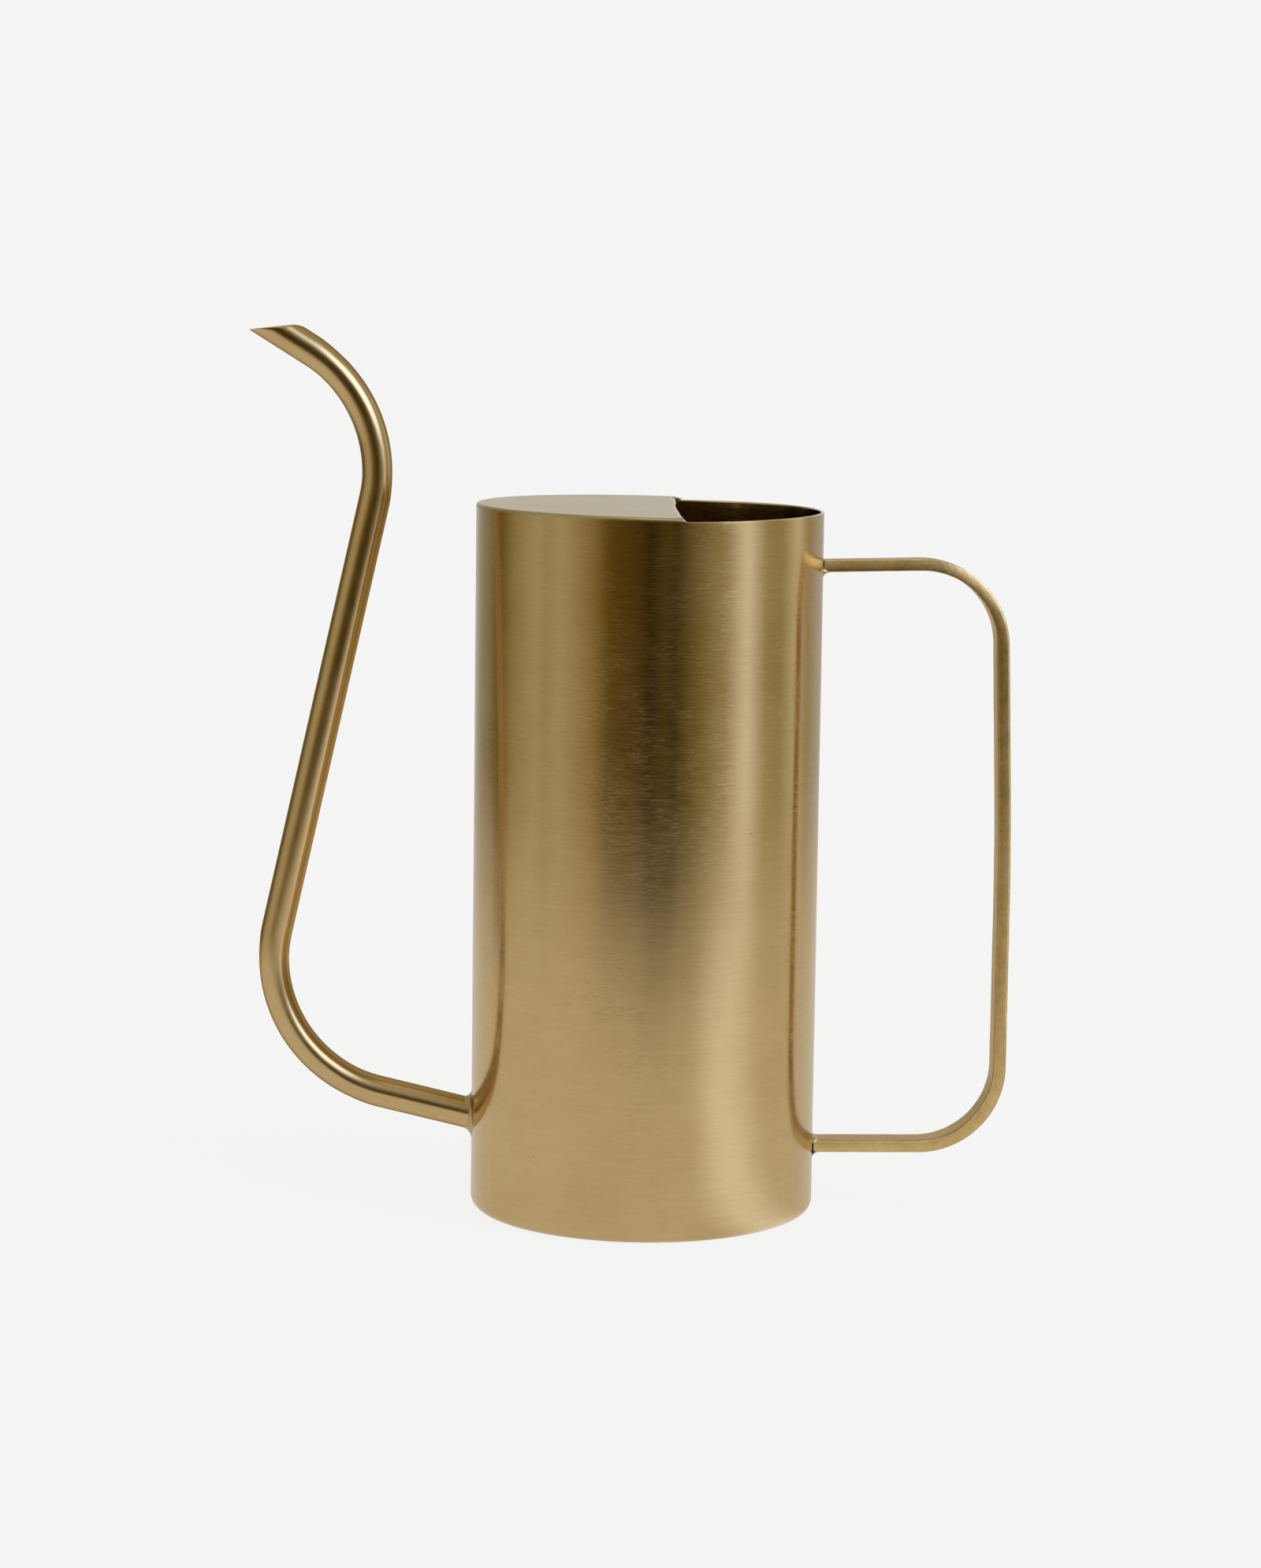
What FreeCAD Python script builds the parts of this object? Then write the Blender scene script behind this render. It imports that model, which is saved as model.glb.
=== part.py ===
"""Brass watering can: sheet cylinder, half cover, gooseneck spout tube and bent flat-bar handle.

Frame: +Z up, origin at the centre of the base on the resting plane, handle towards +X,
spout towards -X. All lengths in millimetres, all angles in degrees.
"""
import FreeCAD, Part
import math
import os

from FreeCAD import Vector

# Body: rolled sheet on a pressed base pan, half closed by a flat plate
BODY_R = 55.0
BODY_H = 225.2
SHEET = 1.0
COVER_THICK = 1.2
COVER_EDGE_R = 1.0
COVER_CUT_X = 8.0
COVER_CUT_FILLET = 3.0
PAN_EDGE_R = 3.5
PAN_DEPTH = 6.0
INNER_R = BODY_R - SHEET
WALL_TOP = BODY_H - COVER_THICK

# Spout: round tube, rising slightly from the wall, swept up beside it and turned out at the top
TUBE_R = 5.0
TUBE_WALL = 1.0
ROOT_Z = 29.1
ROOT_RISE = 13.6
RUN_LEAN = 12.5
TIP_RISE = 31.9
SPOUT_BEND_R = 45.0
LOW_CORNER_X = -126.8
HIGH_CORNER_Z = 256.4
TIP_POINT = (-126.0, 279.3)
MITRE_RISE = 6.5
TUBE_STUB = 3.0

# Handle: flat bar on edge, two arms and a slightly bowed grip
BAR_WIDE = 10.0
BAR_THICK = 4.0
BAR_EDGE = 0.5
HANDLE_BEND_R = 26.0
GRIP_BOW_R = 1400.0
UPPER_ARM_Z = 207.1
LOWER_ARM_Z = 20.0
UPPER_CORNER = (111.8, 208.4)
GRIP_MIDDLE = (114.9, 116.0)
LOWER_CORNER = (114.9, LOWER_ARM_Z)

# Filler metal in the brazed joints
SPOUT_FILLET = 1.6
HANDLE_FILLET = 1.2
FILLET_LIP = 0.4
SEAM_FILLET = 1.5
SEAM_BEAD_WIDE = 3.0
SEAM_BEAD_THICK = 0.4

FAR = 400.0


def at(x, z, y=0.0):
    """A point given by its place in the X-Z plane of the can."""
    return Vector(x, y, z)


def unit(angle):
    """Direction in the X-Z plane at an angle above +X."""
    return at(math.cos(math.radians(angle)), math.sin(math.radians(angle)))


def rounded_path(corners, radii):
    """Wire through the corners, each inner corner turned by a tangent arc of its radius."""
    edges = []
    start = corners[0]
    for corner, after, radius in zip(corners[1:-1], corners[2:], radii):
        back = (start - corner).normalize()
        ahead = (after - corner).normalize()
        half = back.getAngle(ahead) / 2
        trim = radius / math.tan(half)
        middle = (back + ahead).normalize()
        centre = corner + middle * (radius / math.sin(half))
        enter = corner + back * trim
        leave = corner + ahead * trim
        edges.append(Part.makeLine(start, enter))
        edges.append(Part.Arc(enter, centre - middle * radius, leave).toShape())
        start = leave
    edges.append(Part.makeLine(start, corners[-1]))
    return Part.Wire(edges)


def swept(path, profile):
    """Solid swept by a closed profile along a flat path."""
    return path.makePipeShell([profile], True, False).removeSplitter()


def round_profile(centre, direction, radius):
    """Closed circular wire across a direction."""
    return Part.Wire(Part.makeCircle(radius, centre, direction))


def bar_profile(centre, wide, thick, edge):
    """Closed wire of the bar's section across +X, its four edges broken by a chamfer."""
    y = wide / 2
    z = thick / 2
    quarter = [(y, z - edge), (y - edge, z), (edge - y, z), (-y, z - edge)]
    outline = quarter + [(-py, -pz) for py, pz in quarter]
    points = [centre + Vector(0, py, pz) for py, pz in outline]
    return Part.makePolygon(points + points[:1])


def turned(outline):
    """Solid of revolution about Z of a closed outline given as (radius, height) edges."""
    face = Part.Face(Part.Wire(outline))
    return face.revolve(Vector(0, 0, 0), Vector(0, 0, 1), 360)


def ring(inner, outer, low, high):
    """Plain ring about Z."""
    height = high - low
    tube = Part.makeCylinder(outer, height, at(0, low))
    return tube.cut(Part.makeCylinder(inner, height, at(0, low)))


def body_mass():
    """The body's whole outer cylinder, for trimming what is brazed on it."""
    return Part.makeCylinder(BODY_R, BODY_H)


def spout_path():
    """Centre line of the spout, from inside the wall to past its cut end."""
    rise = math.tan(math.radians(ROOT_RISE))
    lean = math.tan(math.radians(RUN_LEAN))
    low_z = ROOT_Z + (-BODY_R - LOW_CORNER_X) * rise
    high_x = LOW_CORNER_X + (HIGH_CORNER_Z - low_z) * lean
    start_x = TUBE_STUB - INNER_R
    start = at(start_x, ROOT_Z - (start_x + BODY_R) * rise)
    low = at(LOW_CORNER_X, low_z)
    high = at(high_x, HIGH_CORNER_Z)
    end = high + unit(180 - TIP_RISE) * (SPOUT_BEND_R + 30)
    return rounded_path([start, low, high, end], [SPOUT_BEND_R, SPOUT_BEND_R])


def spout_solid(radius):
    """Solid rod along the spout, cut off at the tip's slanting end."""
    path = spout_path()
    rod = swept(path, round_profile(path.Edges[0].Vertexes[0].Point, unit(180 - ROOT_RISE), radius))
    waste = Part.makeBox(FAR, FAR, FAR, Vector(-FAR / 2, -FAR / 2, 0))
    waste.rotate(Vector(0, 0, 0), Vector(0, 1, 0), -MITRE_RISE)
    waste.translate(at(*TIP_POINT))
    return rod.cut(waste)


def spout_tube():
    """Bent tube with a 1 mm wall, its root end standing inside the tank."""
    return spout_solid(TUBE_R).cut(spout_solid(TUBE_R - TUBE_WALL))


def handle_path():
    """Centre line of the handle: upper arm, bowed grip, lower arm."""
    inside = INNER_R - 2
    corners = [at(inside, UPPER_ARM_Z), at(*UPPER_CORNER), at(*GRIP_MIDDLE)]
    corners += [at(*LOWER_CORNER), at(inside, LOWER_ARM_Z)]
    return rounded_path(corners, [HANDLE_BEND_R, GRIP_BOW_R, HANDLE_BEND_R])


def handle_solid():
    """The bent bar before its ends are shaped, reaching inside the wall."""
    start = at(INNER_R - 2, UPPER_ARM_Z)
    return swept(handle_path(), bar_profile(start, BAR_WIDE, BAR_THICK, BAR_EDGE))


def handle_bar():
    """Bent bar with both ends hollowed to sit on the wall."""
    return handle_solid().cut(body_mass())


def foot_metal(arm_z):
    """Filler metal round a foot of the handle, spreading from the bar down to the wall."""
    spread = 2 * HANDLE_FILLET
    on_wall = bar_profile(at(INNER_R, arm_z), BAR_WIDE + spread, BAR_THICK + spread, BAR_EDGE)
    lip = at(BODY_R + HANDLE_FILLET, arm_z)
    on_bar = bar_profile(lip, BAR_WIDE + FILLET_LIP, BAR_THICK + FILLET_LIP, BAR_EDGE)
    metal = Part.makeLoft([on_wall, on_bar], True)
    return metal.cut(body_mass()).cut(handle_solid())


def body_wall():
    """Rolled sheet cylinder standing on the pan, with the hole for the spout."""
    return ring(INNER_R, BODY_R, PAN_DEPTH, WALL_TOP).cut(spout_solid(TUBE_R))


def base_pan():
    """Pressed base: flat bottom, rounded edge, short upright flange."""
    inner_r = PAN_EDGE_R - SHEET
    bend_x = BODY_R - PAN_EDGE_R
    middle = unit(-45)
    centre = at(bend_x, PAN_EDGE_R)
    outer = Part.Arc(at(bend_x, 0), centre + middle * PAN_EDGE_R, at(BODY_R, PAN_EDGE_R))
    inner = Part.Arc(at(INNER_R, PAN_EDGE_R), centre + middle * inner_r, at(bend_x, SHEET))
    outline = [
        Part.makeLine(at(0, 0), at(bend_x, 0)),
        outer.toShape(),
        Part.makeLine(at(BODY_R, PAN_EDGE_R), at(BODY_R, PAN_DEPTH)),
        Part.makeLine(at(BODY_R, PAN_DEPTH), at(INNER_R, PAN_DEPTH)),
        Part.makeLine(at(INNER_R, PAN_DEPTH), at(INNER_R, PAN_EDGE_R)),
        inner.toShape(),
        Part.makeLine(at(bend_x, SHEET), at(0, SHEET)),
        Part.makeLine(at(0, SHEET), at(0, 0)),
    ]
    return turned(outline)


def cover_plate():
    """Flat plate over the spout side, its rim edge filed round, its cut edge run into the rim."""
    disc = Part.makeCylinder(BODY_R, COVER_THICK, at(0, WALL_TOP))
    rim = [edge for edge in disc.Edges if edge.BoundBox.ZMin > BODY_H - 0.01]
    disc = disc.makeFillet(COVER_EDGE_R, rim)
    half_y = math.sqrt(INNER_R ** 2 - COVER_CUT_X ** 2)
    mouth = Part.makeCylinder(INNER_R, COVER_THICK, at(0, WALL_TOP))
    keep = Part.makeBox(FAR, FAR, FAR, Vector(COVER_CUT_X - FAR, -FAR / 2, 0))
    mouth = mouth.cut(keep)
    corners = []
    for edge in mouth.Edges:
        middle = edge.valueAt((edge.FirstParameter + edge.LastParameter) / 2)
        if edge.BoundBox.ZLength > COVER_THICK / 2 and abs(middle.y) > half_y - 0.1:
            corners.append(edge)
    mouth = mouth.makeFillet(COVER_CUT_FILLET, corners)
    beyond = Part.makeBox(FAR, FAR, FAR, Vector(COVER_CUT_X + COVER_CUT_FILLET, -FAR / 2, 0))
    return disc.cut(mouth).cut(beyond)


def cove(corner_r, corner_z, upward):
    """Filler ring in the inner corner below or above a height, hollow-faced."""
    lift = SEAM_FILLET * upward
    foot = at(corner_r, corner_z)
    on_wall = at(corner_r, corner_z + lift)
    on_plate = at(corner_r - SEAM_FILLET, corner_z)
    centre = at(corner_r - SEAM_FILLET, corner_z + lift)
    middle = centre + (foot - centre).normalize() * SEAM_FILLET
    face = Part.Arc(on_plate, middle, on_wall).toShape()
    return turned([Part.makeLine(on_wall, foot), Part.makeLine(foot, on_plate), face])


def cover_braze():
    """Filler metal in the corner under the cover, only where the cover is."""
    past_cut = Part.makeBox(FAR, FAR, FAR, Vector(COVER_CUT_X - 1, -FAR / 2, 0))
    return cove(INNER_R, WALL_TOP, -1).cut(past_cut)


def base_braze():
    """Bead inside the butt joint between the wall and the pan."""
    reach = SEAM_FILLET / 2
    low = at(INNER_R, PAN_DEPTH - SEAM_FILLET)
    high = at(INNER_R, PAN_DEPTH + SEAM_FILLET)
    crown = Part.Arc(high, at(INNER_R - reach, PAN_DEPTH), low).toShape()
    return turned([Part.makeLine(low, high), crown])


def body_seam_braze():
    """Flat bead up the inside of the wall's lengthwise seam, behind the handle."""
    low = PAN_DEPTH + SEAM_FILLET + 0.5
    high = WALL_TOP - 1
    strip = ring(INNER_R - SEAM_BEAD_THICK, INNER_R, low, high)
    limit = Part.makeBox(BODY_R, SEAM_BEAD_WIDE, BODY_H, Vector(0, -SEAM_BEAD_WIDE / 2, 0))
    return strip.common(limit)


def spout_braze():
    """Collar of filler metal in the corner between the spout's root and the wall."""
    limb = spout_solid(TUBE_R)
    whole = body_mass().fuse(limb).removeSplitter()
    feet = []
    for edge in whole.Edges:
        middle = edge.valueAt((edge.FirstParameter + edge.LastParameter) / 2)
        on_wall = abs(math.hypot(middle.x, middle.y) - BODY_R) < 0.01
        if on_wall and 0 < edge.BoundBox.ZMin and edge.BoundBox.ZMax < BODY_H / 2:
            feet.append(edge)
    return whole.makeFillet(SPOUT_FILLET, feet).cut(whole)


def handle_upper_braze():
    """Filler metal round the handle's upper foot."""
    return foot_metal(UPPER_ARM_Z)


def handle_lower_braze():
    """Filler metal round the handle's lower foot."""
    return foot_metal(LOWER_ARM_Z)


def main():
    """Write one STEP file for each piece."""
    os.makedirs("parts", exist_ok=True)
    pieces = [body_wall, base_pan, base_braze, body_seam_braze, cover_plate, cover_braze]
    pieces += [spout_tube, spout_braze, handle_bar, handle_upper_braze, handle_lower_braze]
    for piece in pieces:
        shape = piece()
        shape.exportStep("parts/" + piece.__name__ + ".step")
        box = shape.BoundBox
        print(piece.__name__, len(shape.Solids), shape.isValid(), round(shape.Volume, 1),
              round(box.XMin, 2), round(box.XMax, 2), round(box.YMin, 2), round(box.YMax, 2),
              round(box.ZMin, 2), round(box.ZMax, 2))


main()
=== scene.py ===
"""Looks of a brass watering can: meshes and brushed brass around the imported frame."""
import logging
import math
from dataclasses import dataclass
from enum import Enum
from typing import Callable, Sequence

import bmesh
import bpy
from mathutils import Matrix, Vector, noise


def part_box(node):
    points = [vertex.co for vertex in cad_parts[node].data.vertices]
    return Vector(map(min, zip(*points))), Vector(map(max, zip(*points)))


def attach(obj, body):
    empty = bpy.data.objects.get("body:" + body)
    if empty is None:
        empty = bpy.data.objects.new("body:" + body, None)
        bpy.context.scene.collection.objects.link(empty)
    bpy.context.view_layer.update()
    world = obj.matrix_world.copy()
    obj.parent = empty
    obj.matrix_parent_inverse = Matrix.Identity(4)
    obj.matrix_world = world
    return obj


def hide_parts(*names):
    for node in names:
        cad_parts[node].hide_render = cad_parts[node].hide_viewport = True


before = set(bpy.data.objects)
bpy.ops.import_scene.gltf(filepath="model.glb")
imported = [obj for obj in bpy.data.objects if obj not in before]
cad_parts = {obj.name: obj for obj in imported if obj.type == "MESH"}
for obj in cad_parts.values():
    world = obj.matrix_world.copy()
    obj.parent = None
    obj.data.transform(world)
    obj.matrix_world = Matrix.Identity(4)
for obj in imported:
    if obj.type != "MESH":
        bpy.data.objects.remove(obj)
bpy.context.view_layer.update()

MM = 0.001
ROOT_BODY = "root"
STOCK = "stock"
WEAR_AND_PAINTED_LIGHT = "wear_and_painted_light"
SIDE = Vector((0, 1, 0))
WELD = 1e-7
SHARP_TURN = math.radians(38)
LOG = logging.getLogger("watering_can")

Colour = tuple[float, float, float]
Loop = list[Vector]
Outline = list[tuple[Vector, float, float]]


def box_of(node: str) -> tuple[Vector, Vector]:
    """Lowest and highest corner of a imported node, as vectors in metres."""
    low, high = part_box(node)
    return Vector(low), Vector(high)


def smooth(low: float, high: float, value: float) -> float:
    """Smooth step from 0 at low to 1 at high."""
    share = min(1.0, max(0.0, (value - low) / (high - low)))
    return share * share * (3 - 2 * share)


def wobble(x: float, y: float, z: float) -> float:
    """Smooth repeatable noise, about -1 to 1."""
    return noise.noise(Vector((x, y, z)))


def round_z(r: float, turn: float, z: float) -> Vector:
    """The point at a radius, a turn from +X and a height."""
    return Vector((r * math.cos(turn), r * math.sin(turn), z))


def bowed(start: Vector, bow: Vector, end: Vector, share: float) -> Vector:
    """A point on the curve that leaves start towards bow and reaches end from it."""
    return start * (1 - share) ** 2 + bow * (2 * share * (1 - share)) + end * share**2


# ---------------------------------------------------------------- shader graph


class Value:
    """A number socket that joins in Python expressions by adding Math nodes."""

    def __init__(self, graph: "Graph", socket: bpy.types.NodeSocket) -> None:
        """Wrap one output socket of a graph."""
        self.graph = graph
        self.socket = socket

    def _math(self, operation: str, first: object, second: object) -> "Value":
        """Add a Math node on two operands."""
        settings = {"operation": operation}
        node = self.graph.add("ShaderNodeMath", settings, {0: first, 1: second})
        return Value(self.graph, node.outputs[0])

    def __add__(self, other: object) -> "Value":
        """Sum."""
        return self._math("ADD", self, other)

    def __radd__(self, other: object) -> "Value":
        """Reflected sum."""
        return self._math("ADD", other, self)

    def __sub__(self, other: object) -> "Value":
        """Difference."""
        return self._math("SUBTRACT", self, other)

    def __rsub__(self, other: object) -> "Value":
        """Reflected difference."""
        return self._math("SUBTRACT", other, self)

    def __mul__(self, other: object) -> "Value":
        """Product."""
        return self._math("MULTIPLY", self, other)

    def __rmul__(self, other: object) -> "Value":
        """Reflected product."""
        return self._math("MULTIPLY", other, self)

    def __truediv__(self, other: object) -> "Value":
        """Quotient."""
        return self._math("DIVIDE", self, other)

    def __rtruediv__(self, other: object) -> "Value":
        """Reflected quotient."""
        return self._math("DIVIDE", other, self)


class Graph:
    """Adds and links the nodes of one shader tree."""

    def __init__(self, tree: bpy.types.NodeTree) -> None:
        """Start with an empty tree."""
        self.tree = tree
        tree.nodes.clear()

    def add(
        self, kind: str, settings: dict | None = None, inputs: dict | None = None
    ) -> bpy.types.Node:
        """Make a node.

        Args:
            kind: The node's type, such as "ShaderNodeTexNoise".
            settings: What is set first; "stops" are a ramp's (place, colour) pairs.
            inputs: Socket name or number to a number, a colour, a Value or an output socket.

        Returns:
            The new node.
        """
        node = self.tree.nodes.new(kind)
        for name, value in (settings or {}).items():
            if name == "stops":
                self._set_stops(node.color_ramp, value)
            else:
                setattr(node, name, value)
        for name, value in (inputs or {}).items():
            self.feed(node.inputs[name], value)
        return node

    @staticmethod
    def _set_stops(ramp: bpy.types.ColorRamp, stops: Sequence[tuple[float, Colour]]) -> None:
        """Give a ramp its stops."""
        while len(ramp.elements) < len(stops):
            ramp.elements.new(1.0)
        for element, (place, colour) in zip(ramp.elements, stops):
            element.position = place
            element.color = (*colour, 1.0)

    def feed(self, socket: bpy.types.NodeSocket, value: object) -> None:
        """Link or set one input socket."""
        if isinstance(value, Value):
            self.tree.links.new(value.socket, socket)
        elif isinstance(value, bpy.types.NodeSocket):
            self.tree.links.new(value, socket)
        elif isinstance(value, tuple) and len(value) == 3 and socket.type == "RGBA":
            socket.default_value = (*value, 1.0)
        else:
            socket.default_value = value

    def stretched(self, vector: object, scale: Sequence[float]) -> bpy.types.NodeSocket:
        """A vector multiplied along each axis."""
        settings = {"operation": "MULTIPLY"}
        node = self.add("ShaderNodeVectorMath", settings, {0: vector, 1: tuple(scale)})
        return node.outputs[0]

    def noise(self, vector: object, detail: float = 2.0, rough: float = 0.5) -> Value:
        """Noise of unit scale at a stretched vector, about 0 to 1."""
        inputs = {"Vector": vector, "Scale": 1.0, "Detail": detail, "Roughness": rough}
        node = self.add("ShaderNodeTexNoise", {}, inputs)
        return Value(self, node.outputs[0])

    def step(self, value: Value, low: float, high: float) -> Value:
        """Smooth step of a value, 0 below low and 1 above high."""
        settings = {"interpolation_type": "SMOOTHSTEP"}
        inputs = {"Value": value, "From Min": low, "From Max": high}
        return Value(self, self.add("ShaderNodeMapRange", settings, inputs).outputs[0])

    def blend(self, share: object, first: object, second: object) -> bpy.types.NodeSocket:
        """Colour between two colours."""
        settings = {"data_type": "RGBA"}
        return self.add("ShaderNodeMix", settings, {0: share, 6: first, 7: second}).outputs[2]


# ---------------------------------------------------------------- finishes


class Brushing(Enum):
    """How a piece was rubbed down: cycles per metre of the strokes along its stock axes."""

    AROUND = (230.0, 230.0, 3600.0)
    ACROSS_PLATE = (160.0, 2200.0, 2200.0)
    ALONG = (2600.0, 2600.0, 240.0)
    HAND = (2400.0, 2400.0, 1000.0)
    ROUGH = (1700.0, 1700.0, 1700.0)


GLINT = (1.0, 0.86, 0.6)
# Rubbed brass, also part of a painted highlight on the handle's upper arrises.
RUBBED_AND_HIGHLIGHT_BRIGHT = (0.95, 0.82, 0.56)
PIT_DARK = (0.06, 0.035, 0.01)
# Sooty dark, also used as the painted shade inside the can.
SOOT_AND_SHADE_DARK = (0.05, 0.03, 0.01)


@dataclass(frozen=True)
class Marks:
    """The masks that a finish is mixed from, each about 0 to 1."""

    strokes: Value
    long_strokes: Value
    clouds: Value
    smudges: Value
    pits: Value
    nicks: Value
    # Sooty joints and dull filler edges, and the painted shade over the wall's inner skin.
    darkening: Value
    # Rubbed-bright wear, partly a painted highlight on the handle's upper arrises.
    rubbed: Value


@dataclass(frozen=True)
class BrassFinish:
    """One brass surface: its tones, its polish and its marks of making and age, with painted shade and
    part of a painted highlight carried in its wear.
    """

    name: str
    light: Colour
    deep: Colour
    stain: Colour
    brushing: Brushing
    rough: float
    anisotropy: float = 0.0
    stroke_depth: float = 0.004 * MM
    stroke_tone: float = 0.10
    cloud_size: float = 30 * MM
    pit_share: float = 0.02
    ripple_depth: float = 0.0
    nick_rough: float = 0.0
    stroke_rough: float = 0.14
    edge_tint: Colour = (1.0, 1.0, 1.0)

    def build(self) -> bpy.types.Material:
        """Make the material.

        Returns:
            A node material that varies tone, polish and relief over the surface.
        """
        material = bpy.data.materials.new(self.name)
        material.use_nodes = True
        graph = Graph(material.node_tree)
        place = graph.add("ShaderNodeAttribute", {"attribute_name": STOCK}).outputs["Vector"]
        # The wear attribute also carries the painted shade inside the can and part of a painted
        # highlight on the handle.
        wear_and_painted_light = Value(graph, graph.add("ShaderNodeAttribute", {"attribute_name": WEAR_AND_PAINTED_LIGHT}).outputs["Fac"])

        marks = self._marks(graph, place, wear_and_painted_light)
        height = self._relief(graph, place, marks)
        bump = graph.add("ShaderNodeBump", {}, {"Strength": 1.0, "Distance": 1.0, "Height": height})
        inputs = {
            "Base Color": self._tone(graph, marks),
            "Metallic": 1.0,
            "Roughness": self._polish(graph, marks),
            "Specular Tint": self.edge_tint,
            "Normal": bump.outputs[0],
            "Anisotropic": self.anisotropy,
            "Anisotropic Rotation": 0.25,
        }
        shader = graph.add("ShaderNodeBsdfPrincipled", {}, inputs)
        graph.add("ShaderNodeOutputMaterial", {}, {"Surface": shader.outputs[0]})
        return material

    def _marks(self, graph: Graph, place: object, wear_and_painted_light: Value) -> Marks:
        """Masks of the strokes, clouds and marks.

        Args:
            graph: The material's graph.
            place: The stock position.
            wear_and_painted_light: Wear, below 0 sooty or dull, above 0 rubbed bright; below 0 on the
                wall's inner skin it is painted shade, above 0 on the handle's upper arrises partly a
                painted highlight.

        Returns:
            The masks.
        """
        per_metre = self.brushing.value
        cloud = 1 / self.cloud_size
        return Marks(
            strokes=graph.noise(graph.stretched(place, per_metre), 3.0, 0.6),
            long_strokes=graph.noise(graph.stretched(place, [0.3 * k for k in per_metre]), 2.0),
            clouds=graph.noise(graph.stretched(place, [cloud] * 3), 3.0, 0.6),
            smudges=graph.noise(graph.stretched(place, [0.45 * cloud] * 3), 4.0, 0.65),
            pits=self._pits(graph, place),
            nicks=self._nicks(graph, place),
            darkening=graph.step(wear_and_painted_light * -1, 0.1, 1.0),
            rubbed=graph.step(wear_and_painted_light, 0.0, 1.0),
        )

    def _tone(self, graph: Graph, marks: Marks) -> bpy.types.NodeSocket:
        """Colour of the brass, stained, streaked, rubbed, pitted and sooted in turn; the sooted step
        also paints shade inside the can, and the rubbed step partly paints a highlight on the handle's
        upper arrises.
        """
        clouded = graph.step(marks.clouds, 0.3, 0.7) * 0.6
        tone = clouded + graph.step(marks.long_strokes, 0.2, 0.8) * 0.4
        colour = graph.blend(tone, self.deep, self.light)
        colour = graph.blend(graph.step(marks.smudges, 0.58, 0.78) * 0.45, colour, self.stain)
        streak = graph.step(marks.strokes, 0.35, 0.75) * self.stroke_tone
        colour = graph.blend(streak, colour, GLINT)
        # Partly a painted highlight: the handle's upper arrises are rubbed brighter than the lower ones.
        colour = graph.blend(marks.rubbed * 0.7, colour, RUBBED_AND_HIGHLIGHT_BRIGHT)
        colour = graph.blend(marks.pits, colour, PIT_DARK)
        # Painted shade over the wall's inner skin, inside the can; sooty joints elsewhere.
        return graph.blend(marks.darkening, colour, SOOT_AND_SHADE_DARK)

    def _polish(self, graph: Graph, marks: Marks) -> Value:
        """Roughness: uneven over the clouds and strokes, higher in marks, lower where rubbed."""
        rough = self.rough + (marks.clouds - 0.5) * 0.12
        rough = rough + (marks.strokes - 0.5) * self.stroke_rough - marks.rubbed * 0.08
        rough = rough + marks.nicks * self.nick_rough
        return rough + graph.step(marks.smudges, 0.55, 0.8) * 0.06 + marks.pits * 0.3

    def _relief(self, graph: Graph, place: object, marks: Marks) -> Value:
        """Height in metres, with a slow ripple that fades along the stock where there is one."""
        height = marks.strokes * self.stroke_depth + marks.long_strokes * (self.stroke_depth * 1.5)
        height = height - marks.pits * (0.01 * MM) - marks.nicks * (0.05 * MM * self.nick_rough)
        if self.ripple_depth:
            along = graph.add("ShaderNodeSeparateXYZ", {}, {0: place}).outputs[2]
            fade = 1 - graph.step(Value(graph, along), 45 * MM, 90 * MM) * 0.6
            ripple = graph.noise(graph.stretched(place, [1 / (6 * MM)] * 3), 3.0, 0.62)
            height = height + ripple * (fade * self.ripple_depth)
        return height

    def _nicks(self, graph: Graph, place: object) -> Value:
        """Short scratches of coarse grit along the strokes.

        Args:
            graph: The material's graph.
            place: The stock position.

        Returns:
            1 in a scratch, 0 elsewhere, in loose patches.
        """
        reach = [1.6 * k for k in self.brushing.value[:2]] + [1.8 * self.brushing.value[2]]
        lines = graph.noise(graph.stretched(place, reach), 2.0, 0.7)
        patches = graph.noise(graph.stretched(place, [1 / (9 * MM)] * 3), 2.0)
        return graph.step(lines, 0.54, 0.72) * graph.step(patches, 0.35, 0.65)

    def _pits(self, graph: Graph, place: object) -> Value:
        """Sparse casting pits and specks.

        Args:
            graph: The material's graph.
            place: The stock position.

        Returns:
            1 inside a pit, 0 elsewhere.
        """
        cells = {"Vector": graph.stretched(place, [1 / (6 * MM)] * 3), "Scale": 1.0}
        voronoi = graph.add("ShaderNodeTexVoronoi", {"feature": "F1"}, cells)
        near = Value(graph, voronoi.outputs["Distance"])
        picks = graph.add("ShaderNodeSeparateColor", {}, {0: voronoi.outputs["Color"]})
        chosen = Value(graph, picks.outputs[0])
        size = Value(graph, picks.outputs[1])
        limit = self.pit_share
        inside = 1 - graph.step(near, 0.02, 0.055)
        return inside * (1 - graph.step(chosen, limit, limit + 0.002)) * (0.5 + size * 0.5)


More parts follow.
